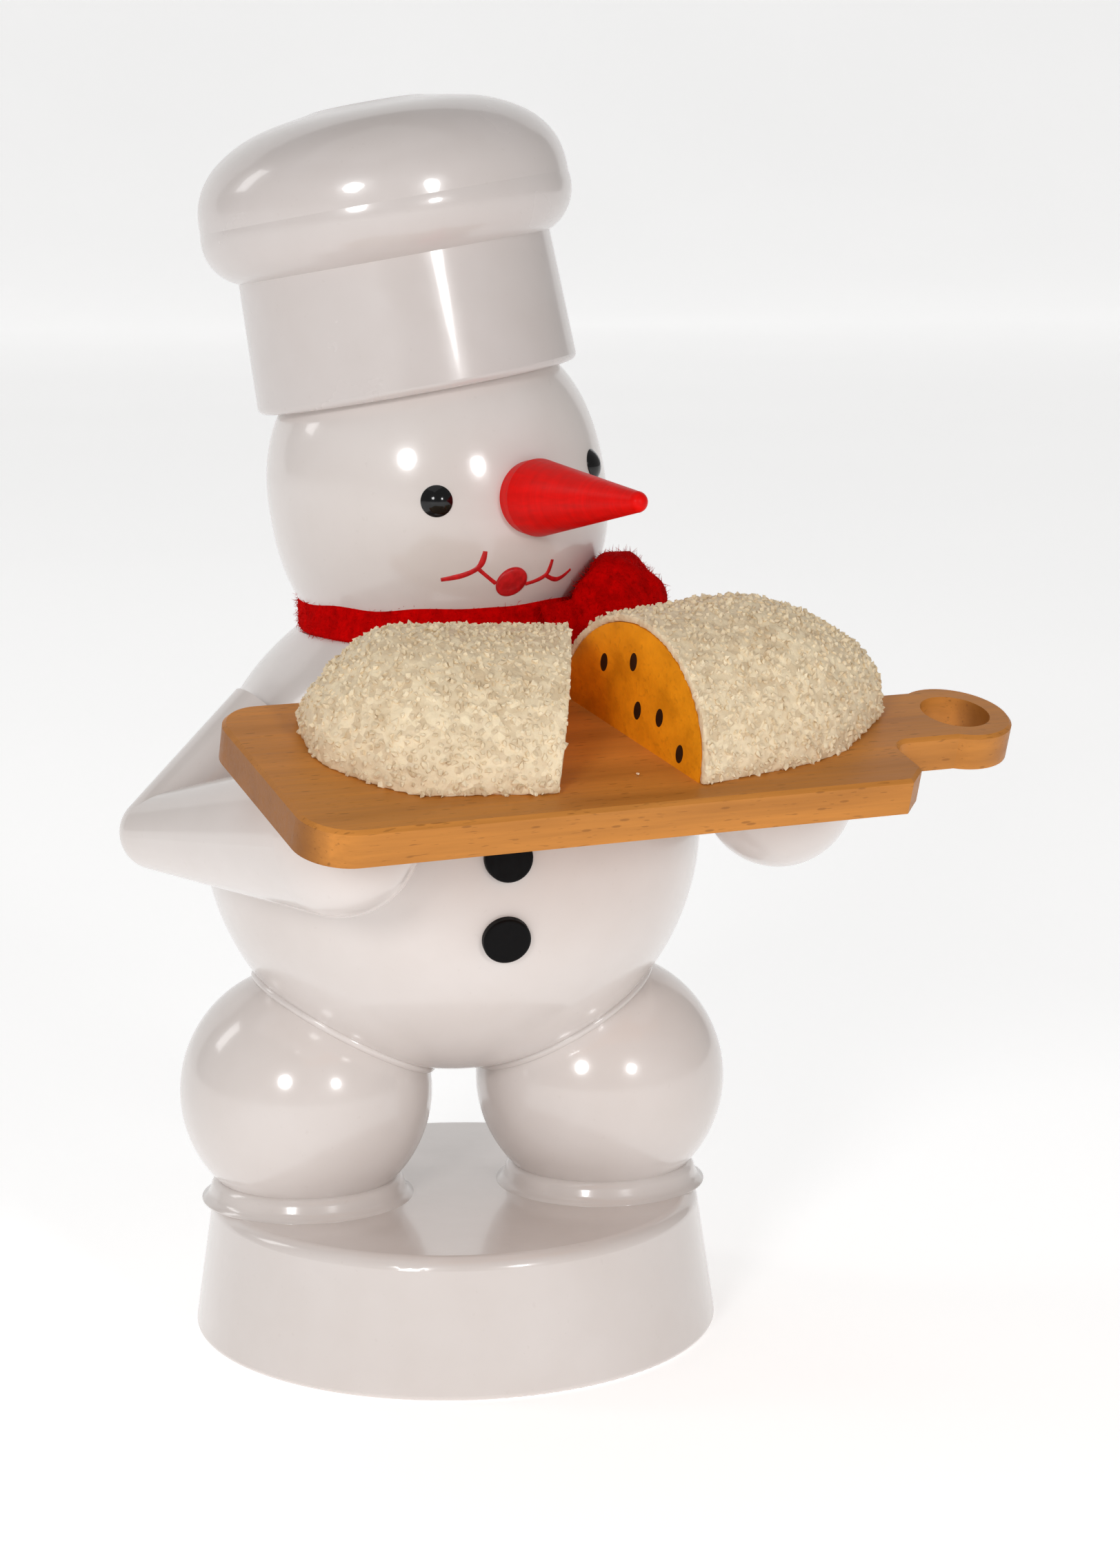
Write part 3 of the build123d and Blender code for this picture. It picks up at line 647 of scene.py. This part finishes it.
class SNOWMAN_OT_mouth(Operator):
    """Brushed mouth line and the round dot in its middle"""
    bl_idname = "snowman.mouth"
    bl_label = "Mouth"

    # bearing, latitude and share of the full line width at each point
    STROKES = (
        ((-3.6, -23.7, 0.7), (0.4, -23.8, 1.0), (5.0, -23.6, 1.0), (9.9, -22.3, 0.9),
         (12.1, -19.9, 1.25), (13.1, -16.9, 0.8)),
        ((9.9, -22.4, 0.7), (12.6, -25.6, 0.8), (15.6, -28.6, 0.7)),
        ((27.4, -31.2, 0.7), (32.0, -31.0, 0.85), (36.6, -29.9, 0.85), (38.2, -27.6, 0.9),
         (39.0, -24.8, 0.7)),
        ((36.6, -29.9, 0.7), (40.4, -32.4, 0.95), (45.5, -32.4, 0.9), (49.6, -30.2, 0.6)),
    )
    DOT = (21.7, -29.3)

    def execute(self, context):
        settings = context.scene.snowman_face
        pieces = [self.stroke(f"stroke_{i}", points, settings.line / MM)
                  for i, points in enumerate(self.STROKES)]
        pieces.append(self.dot(settings.lips / MM))
        mouth = joined("mouth_paint", pieces)
        finished(mouth, finish_of("mouth_paint"), "red_lacquer")
        return {"FINISHED"}

    def stroke(self, name, points, width):
        """Round bead on a smooth line, sunk so that a low crown of paint stands out."""
        radius = width * 0.62
        line = bpy.data.curves.new(name, "CURVE")
        line.dimensions, line.bevel_depth, line.bevel_resolution = "3D", radius * MM, 3
        line.use_fill_caps, line.resolution_u = True, 6
        spline = line.splines.new("NURBS")
        spline.points.add(len(points) - 1)
        for point, (bearing, latitude, share) in zip(spline.points, points):
            point.co = (*(head_point(bearing, latitude, -radius * share * 0.72) * MM), 1.0)
            point.radius = share
        spline.order_u, spline.use_endpoint_u = 3, True
        obj = bpy.data.objects.new(name, line)
        bpy.context.collection.objects.link(obj)
        take_up(obj)
        bpy.ops.object.convert(target="MESH")
        bpy.ops.object.shade_smooth()
        return bpy.context.object

    def dot(self, length):
        """Round drop of paint, inset step by step to a low crown."""
        centre = head_point(*self.DOT, -0.25)
        out = (head_point(*self.DOT, 1.0) - centre).normalized()
        deselect_all()
        bpy.ops.mesh.primitive_circle_add(vertices=40, radius=length / 2 * MM, fill_type="NGON")
        obj = named("mouth_dot")
        bpy.ops.object.mode_set(mode="EDIT")
        bpy.ops.mesh.select_all(action="SELECT")
        bpy.ops.transform.resize(value=(1.0, 0.9, 1.0))
        bpy.ops.mesh.extrude_region_move(TRANSFORM_OT_translate={"value": (0, 0, 0.27 * MM)})
        for inset, rise in ((0.10, 0.07), (0.16, 0.04), (0.24, 0.03)):
            bpy.ops.mesh.inset(thickness=inset * MM, depth=rise * MM)
        bpy.ops.mesh.poke()
        bpy.ops.mesh.select_all(action="SELECT")
        bpy.ops.mesh.normals_make_consistent(inside=False)
        bpy.ops.object.mode_set(mode="OBJECT")
        bpy.ops.object.shade_smooth()
        tilt = Matrix.Rotation(math.radians(35), 4, "Z")
        obj.matrix_world = Matrix.Translation(centre * MM) @ out.to_track_quat("Z", "Y").to_matrix().to_4x4() @ tilt
        settle(obj)
        return obj


class SNOWMAN_OT_crusts(Operator):
    """Sugared coats of the two loaf halves"""
    bl_idname = "snowman.crusts"
    bl_label = "Sugar crusts"

    def execute(self, context):
        settings = context.scene.snowman_loaf
        grain = self.grain(settings)
        scatter = self.scatter(settings, grain)
        for side in ("left", "right"):
            crust = self.glaze(side)
            self.mark_outside(crust, side)
            take_up(crust)
            modifier = crust.modifiers.new("Sugar", "NODES")
            modifier.node_group = scatter
            context.view_layer.update()
            bpy.ops.object.modifier_apply(modifier=modifier.name)
            for name in [a.name for a in crust.data.attributes if a.name.startswith("sugared")]:
                crust.data.attributes.remove(crust.data.attributes[name])
            take_up(crust)
            bpy.ops.object.shade_smooth_by_angle(angle=math.radians(35))
            finished(crust, finish_of("sugar_coat"), "sugar_coat", f"{side}_loaf_crust")
        bpy.data.objects.remove(grain)
        self.crumbs(settings)
        return {"FINISHED"}

    def grain(self, settings):
        """One rough crystal, knocked out of shape."""
        deselect_all()
        bpy.ops.mesh.primitive_ico_sphere_add(subdivisions=1, radius=settings.grain / 2)
        obj = named("sugar_grain")
        bpy.ops.object.mode_set(mode="EDIT")
        bpy.ops.mesh.select_all(action="SELECT")
        bpy.ops.transform.vertex_random(offset=settings.grain * 0.16, uniform=1.0, seed=settings.seed)
        bpy.ops.transform.resize(value=(1.0, 0.8, 0.7))
        bpy.ops.object.mode_set(mode="OBJECT")
        return obj

    def glaze(self, side):
        """The crust's own shell, merged and remeshed so that it can take relief."""
        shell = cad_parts[f"{side}_loaf_crust"].copy()
        shell.data = shell.data.copy()
        shell.parent = None
        bpy.context.collection.objects.link(shell)
        for key in [k for k in shell.keys() if k.startswith("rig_")]:
            del shell[key]
        shell.matrix_world = Matrix.Identity(4)
        take_up(shell)
        shell = named(f"{side}_sugar_crust")
        bpy.ops.object.mode_set(mode="EDIT")
        bpy.ops.mesh.select_all(action="SELECT")
        bpy.ops.mesh.remove_doubles(threshold=0.000002)
        bpy.ops.mesh.normals_make_consistent(inside=False)
        bpy.ops.object.mode_set(mode="OBJECT")
        worked(shell, "REMESH", mode="VOXEL", voxel_size=0.17 * MM)
        return shell

    def mark_outside(self, crust, side):
        """Attribute 1 on the faces that the sugar was rolled on to, 0 on the cut, the inside and the foot."""
        (x, y), turn, half_width, height, body, end, cut = LOAVES[side]
        turn = math.radians(turn)
        to_board = BOARD_TURN.to_matrix().inverted()
        marks = []
        for face in crust.data.polygons:
            p = to_board @ (Vector(face.center) / MM - BOARD_CORNER)
            n = to_board @ Vector(face.normal)
            dx, dy = p.x - x, p.y - y
            along = dx * math.cos(turn) + dy * math.sin(turn)
            across = -dx * math.sin(turn) + dy * math.cos(turn)
            n_along = n.x * math.cos(turn) + n.y * math.sin(turn)
            n_across = -n.x * math.sin(turn) + n.y * math.cos(turn)
            past = max(0.0, along - body) / end * half_width
            outward = n_across * across / half_width + n.z * p.z / height + n_along * past / half_width
            cut_normal = n_along * math.cos(math.radians(cut)) + n_across * math.sin(math.radians(cut))
            marks.append(1.0 if outward > 0.12 and cut_normal > -0.8 and n.z > -0.5 and p.z > 0.12 else 0.0)
        layer = crust.data.attributes.new("sugared", "FLOAT", "FACE")
        layer.data.foreach_set("value", marks)

    def scatter(self, settings, grain):
        """Relief of the glaze and grains pressed into it, on the marked faces."""
        group = bpy.data.node_groups.new("Sugar coat", "GeometryNodeTree")
        group.interface.new_socket("Shell", in_out="INPUT", socket_type="NodeSocketGeometry")
        group.interface.new_socket("Coated", in_out="OUTPUT", socket_type="NodeSocketGeometry")
        shell = add_node(group, "NodeGroupInput").outputs[0]
        marked = add_node(group, "GeometryNodeInputNamedAttribute", {"Name": "sugared"},
                          data_type="FLOAT").outputs[0]
        place = add_node(group, "GeometryNodeInputPosition").outputs[0]
        normal = add_node(group, "GeometryNodeInputNormal").outputs[0]
        waves = add_node(group, "ShaderNodeTexNoise", {"Vector": place, "Scale": 1150.0, "Detail": 2.0}).outputs[0]
        swell = add_node(group, "ShaderNodeMath", {0: waves, 1: 0.5}, operation="SUBTRACT").outputs[0]
        swell = add_node(group, "ShaderNodeMath", {0: swell, 1: settings.swell * 2}, operation="MULTIPLY").outputs[0]
        swell = add_node(group, "ShaderNodeMath", {0: swell, 1: marked}, operation="MULTIPLY").outputs[0]
        shift = add_node(group, "ShaderNodeVectorMath", {0: normal, "Scale": swell}, operation="SCALE").outputs[0]
        wavy = add_node(group, "GeometryNodeSetPosition", {"Geometry": shell, "Offset": shift}).outputs[0]
        chosen = add_node(group, "ShaderNodeMath", {0: marked, 1: 0.9}, operation="GREATER_THAN").outputs[0]
        spots = add_node(group, "GeometryNodeDistributePointsOnFaces",
                         {"Mesh": wavy, "Selection": chosen, "Distance Min": settings.spacing,
                          "Density Max": 1.2e7, "Seed": settings.seed},
                         distribute_method="POISSON").outputs["Points"]
        crystal = add_node(group, "GeometryNodeObjectInfo", {"Object": grain, "As Instance": True}).outputs["Geometry"]
        turn = add_node(group, "FunctionNodeRandomValue", {"Seed": settings.seed}, data_type="FLOAT_VECTOR")
        turn.inputs[0].default_value = (0, 0, 0)
        turn.inputs[1].default_value = (math.tau, math.tau, math.tau)
        grow = add_node(group, "FunctionNodeRandomValue", {"Seed": settings.seed + 1}, data_type="FLOAT")
        grow.inputs[2].default_value, grow.inputs[3].default_value = 0.55, 1.2
        grains = add_node(group, "GeometryNodeInstanceOnPoints",
                          {"Points": spots, "Instance": crystal, "Rotation": turn.outputs[0],
                           "Scale": grow.outputs[1]}).outputs[0]
        loose = add_node(group, "GeometryNodeRealizeInstances", {0: grains}).outputs[0]
        both = add_node(group, "GeometryNodeJoinGeometry")
        group.links.new(loose, both.inputs[0])
        group.links.new(wavy, both.inputs[0])
        add_node(group, "NodeGroupOutput", {0: both.outputs[0]})
        return group

    def crumbs(self, settings):
        """Loose grains on the board beside the loaf."""
        pieces = []
        for i, (along, across, size, turn) in enumerate((
                (33.3, -12.7, 1.25, 20), (12.6, -14.1, 0.8, 70), (36.4, -9.6, 0.7, 110),
                (21.6, -12.9, 0.6, 40), (30.9, -13.6, 0.7, 10))):
            crumb = self.grain(settings)
            crumb.scale = (size, size, size)
            crumb.rotation_euler = (0.4, 0.2, math.radians(turn))
            crumb.location = board_point(along, across, 0.12 * size) * MM
            settle(crumb)
            pieces.append(crumb)
        crumbs = joined("sugar_crumbs", pieces)
        finished(crumbs, finish_of("sugar_coat"), "sugar_coat")


class SNOWMAN_OT_scarf(Operator):
    """Felt scarf wound round the neck, its knot and its end"""
    bl_idname = "snowman.scarf"
    bl_label = "Scarf"

    def execute(self, context):
        settings = context.scene.snowman_scarf
        wrap = self.wrap(settings)
        knot = self.knot(settings)
        tail = self.tail(settings)
        nap = [self.fibres(piece, settings, i) for i, piece in enumerate((wrap, knot, tail))]
        fuzz = joined("scarf_nap", nap)
        finished(fuzz, finish_of("red_felt"), "red_felt")
        for piece, node in ((wrap, "scarf_band"), (knot, "scarf_knot"), (tail, "scarf_tail")):
            finished(piece, finish_of("red_felt"), "red_felt", node)
        # the wrap is one turn of a strip twice its folded width; flat can't be as narrow as the strip,
        # so the area gives the real cut, from these sizes and not from the mesh
        return {"FINISHED"}

    def wrap(self, settings):
        """Strip folded lengthwise, its fold outwards, spun round the neck."""
        profile = [(6.9, 1.45), (7.9, 2.35), (8.7, 2.75), (9.3, 2.45), (9.5, 1.7), (9.5, 0.9),
                   (9.35, 0.30), (8.6, 0.26), (7.4, 0.24)]
        centre = Vector((HEAD_CENTRE.x / 2, 0, NECK_SEAT))
        obj = turned("scarf_wrap", centre, Vector((0, 0, 1)), profile, 72)
        self.drape(obj)
        self.crumple(obj, settings.seed, 0.22, 0.34, keep_low=NECK_SEAT + 0.2)
        worked(obj, "SOLIDIFY", thickness=settings.felt * 0.6, offset=-1.0)
        worked(obj, "SUBSURF", levels=1, render_levels=1)
        return obj

    def drape(self, obj):
        """Let the lower edge sink over the shoulder of the torso in front."""
        for vertex in obj.data.vertices:
            p = Vector(vertex.co) / MM
            out = Vector((p.x - HEAD_CENTRE.x / 2, p.y, 0))
            front = max(0.0, -out.y / out.length + 0.1) ** 0.7
            low = max(0.0, 1.2 - (p.z - NECK_SEAT)) / 1.2
            if out.length > 9.2:
                p += out.normalized() * (1.3 * front * low) - Vector((0, 0, 1.05 * front * low))
            vertex.co = p * MM

    def knot(self, settings):
        """Loop of the strip pulled over itself: a plump fold pinched where it leaves the wrap."""
        out = direction(58)
        along = direction(148)
        centre = Vector((HEAD_CENTRE.x / 2, 0, 0)) + out * 11.9 + Vector((0, 0, NECK_SEAT + 2.0))
        outline = []
        for i in range(20):
            a = math.radians(18 * i)
            # seen along the strip: a rounded loop, fuller at the top and outside
            reach = 1.0 + 0.10 * math.cos(2 * a + 0.6) - 0.05 * math.sin(3 * a)
            outline.append(centre + out * (1.95 * math.cos(a) * reach) + Vector((0, 0, 2.6 * math.sin(a) * reach - 0.25)))
        obj = drawn_profile("scarf_knot_fold", [p - along * 3.3 for p in outline])
        bpy.ops.object.mode_set(mode="EDIT")
        bpy.ops.mesh.select_all(action="SELECT")
        bpy.ops.mesh.edge_face_add()
        stations = ((1.0, 1.16), (1.1, 1.10), (1.2, 1.08), (1.2, 1.03), (1.2, 0.88), (0.9, 0.70))
        for run, grow in stations:
            bpy.ops.mesh.extrude_region_move(TRANSFORM_OT_translate={"value": along * run * MM})
            bpy.ops.transform.resize(value=(grow, grow, grow))
        bpy.ops.mesh.select_all(action="SELECT")
        bpy.ops.mesh.remove_doubles(threshold=0.00001)
        bpy.ops.mesh.normals_make_consistent(inside=False)
        bpy.ops.object.mode_set(mode="OBJECT")
        worked(obj, "REMESH", mode="VOXEL", voxel_size=0.35 * MM)
        self.crumple(obj, settings.seed + 5, 0.55, 0.45)
        worked(obj, "SMOOTH", factor=0.5, iterations=3)
        take_up(obj)
        bpy.ops.object.shade_smooth()
        return obj

    def tail(self, settings):
        """Short cut end hanging below the knot, in front of the wrap."""
        out = direction(36)
        along = direction(126)
        top = Vector((HEAD_CENTRE.x / 2, 0, 0)) + out * 9.9 + Vector((0, 0, NECK_SEAT + 2.2))
        path = [(0.0, 0.0), (0.35, -0.7), (0.65, -1.4), (0.85, -2.1), (1.0, -2.8), (1.1, -3.4)]
        points = [top + out * o + Vector((0, 0, h)) - along * 1.6 for o, h in path]
        obj = drawn_profile("scarf_end", points)
        bpy.ops.object.mode_set(mode="EDIT")
        bpy.ops.mesh.select_all(action="SELECT")
        for i in range(6):
            bpy.ops.mesh.extrude_region_move(TRANSFORM_OT_translate={"value": along * 0.6 * MM})
        bpy.ops.object.mode_set(mode="OBJECT")
        self.crumple(obj, settings.seed + 9, 0.2, 0.5)
        worked(obj, "SOLIDIFY", thickness=settings.felt, offset=1.0)
        take_up(obj)
        bpy.ops.object.mode_set(mode="EDIT")
        bpy.ops.mesh.select_all(action="SELECT")
        bpy.ops.mesh.normals_make_consistent(inside=False)
        bpy.ops.object.mode_set(mode="OBJECT")
        worked(obj, "SUBSURF", levels=2, render_levels=2)
        take_up(obj)
        bpy.ops.object.shade_smooth()
        return obj

    def crumple(self, obj, seed, amount, per_mm, keep_low=None):
        """Push points in and out of the felt by a smooth random field, in millimetres."""
        shift = Vector((seed * 7.3, seed * 3.1, seed * 5.7))
        for vertex in obj.data.vertices:
            p = Vector(vertex.co) / MM
            push = noise.noise_vector(p * per_mm + shift) * amount
            if keep_low is not None and p.z < keep_low + 0.4:
                push.z = abs(push.z) * 0.3
            vertex.co = (p + push) * MM

    def fibres(self, piece, settings, seed):
        """Loose wool fibres standing off the felt."""
        deselect_all()
        bpy.ops.mesh.primitive_cone_add(vertices=3, radius1=0.028 * MM, radius2=0.006 * MM,
                                        depth=settings.fibre, location=(0, 0, settings.fibre / 2))
        hair = named("wool_fibre")
        settle(hair)
        group = bpy.data.node_groups.new("Wool nap", "GeometryNodeTree")
        group.interface.new_socket("Felt", in_out="INPUT", socket_type="NodeSocketGeometry")
        group.interface.new_socket("Nap", in_out="OUTPUT", socket_type="NodeSocketGeometry")
        felt = add_node(group, "NodeGroupInput").outputs[0]
        spots = add_node(group, "GeometryNodeDistributePointsOnFaces",
                         {"Mesh": felt, "Distance Min": 0.19 * MM, "Density Max": 1.6e7,
                          "Seed": settings.seed + seed}, distribute_method="POISSON")
        strand = add_node(group, "GeometryNodeObjectInfo", {"Object": hair, "As Instance": True}).outputs["Geometry"]
        lean = add_node(group, "FunctionNodeRandomValue", {"Seed": seed}, data_type="FLOAT_VECTOR")
        lean.inputs[0].default_value, lean.inputs[1].default_value = (-1.25, -1.25, -3.1), (1.25, 1.25, 3.1)
        turn = add_node(group, "FunctionNodeRotateEuler",
                        {0: spots.outputs["Rotation"], 1: lean.outputs[0]}, space="LOCAL").outputs[0]
        grow = add_node(group, "FunctionNodeRandomValue", {"Seed": seed + 4}, data_type="FLOAT")
        grow.inputs[2].default_value, grow.inputs[3].default_value = 0.35, 1.0
        strands = add_node(group, "GeometryNodeInstanceOnPoints",
                           {"Points": spots.outputs["Points"], "Instance": strand, "Rotation": turn,
                            "Scale": grow.outputs[1]}).outputs[0]
        add_node(group, "NodeGroupOutput",
                 {0: add_node(group, "GeometryNodeRealizeInstances", {0: strands}).outputs[0]})
        nap = piece.copy()
        nap.data = piece.data.copy()
        bpy.context.collection.objects.link(nap)
        for key in [k for k in nap.keys() if k.startswith("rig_")]:
            del nap[key]
        take_up(nap)
        modifier = nap.modifiers.new("Nap", "NODES")
        modifier.node_group = group
        bpy.context.view_layer.update()
        bpy.ops.object.modifier_apply(modifier=modifier.name)
        bpy.data.objects.remove(hair)
        return nap


class SNOWMAN_PT_workshop(Panel):
    """Workshop of the turned snowman"""
    bl_idname = "SNOWMAN_PT_workshop"
    bl_label = "Snowman"
    bl_space_type = "VIEW_3D"
    bl_region_type = "UI"
    bl_category = "Snowman"

    def draw(self, context):
        for operator in OPERATORS:
            self.layout.operator(operator.bl_idname)
        for group in ("stage", "finish", "face", "loaf", "scarf"):
            box = self.layout.box()
            settings = getattr(context.scene, f"snowman_{group}")
            for key in settings.__annotations__:
                box.prop(settings, key)


SETTINGS = {
    "snowman_stage": SnowmanStageSettings,
    "snowman_finish": SnowmanFinishSettings,
    "snowman_face": SnowmanFaceSettings,
    "snowman_loaf": SnowmanLoafSettings,
    "snowman_scarf": SnowmanScarfSettings,
}
OPERATORS = (SNOWMAN_OT_stage, SNOWMAN_OT_finishes, SNOWMAN_OT_seams, SNOWMAN_OT_mouth,
             SNOWMAN_OT_crusts, SNOWMAN_OT_scarf)


def register():
    for name, group in SETTINGS.items():
        bpy.utils.register_class(group)
        setattr(bpy.types.Scene, name, PointerProperty(type=group))
    for item in (*OPERATORS, SNOWMAN_PT_workshop):
        bpy.utils.register_class(item)


def unregister():
    for item in reversed((*OPERATORS, SNOWMAN_PT_workshop)):
        bpy.utils.unregister_class(item)
    for name, group in SETTINGS.items():
        delattr(bpy.types.Scene, name)
        bpy.utils.unregister_class(group)


def main():
    register()
    bpy.ops.snowman.stage()
    bpy.ops.snowman.finishes()
    bpy.ops.snowman.seams()
    bpy.ops.snowman.mouth()
    bpy.ops.snowman.crusts()
    bpy.ops.snowman.scarf()


if __name__ == "__main__":
    main()
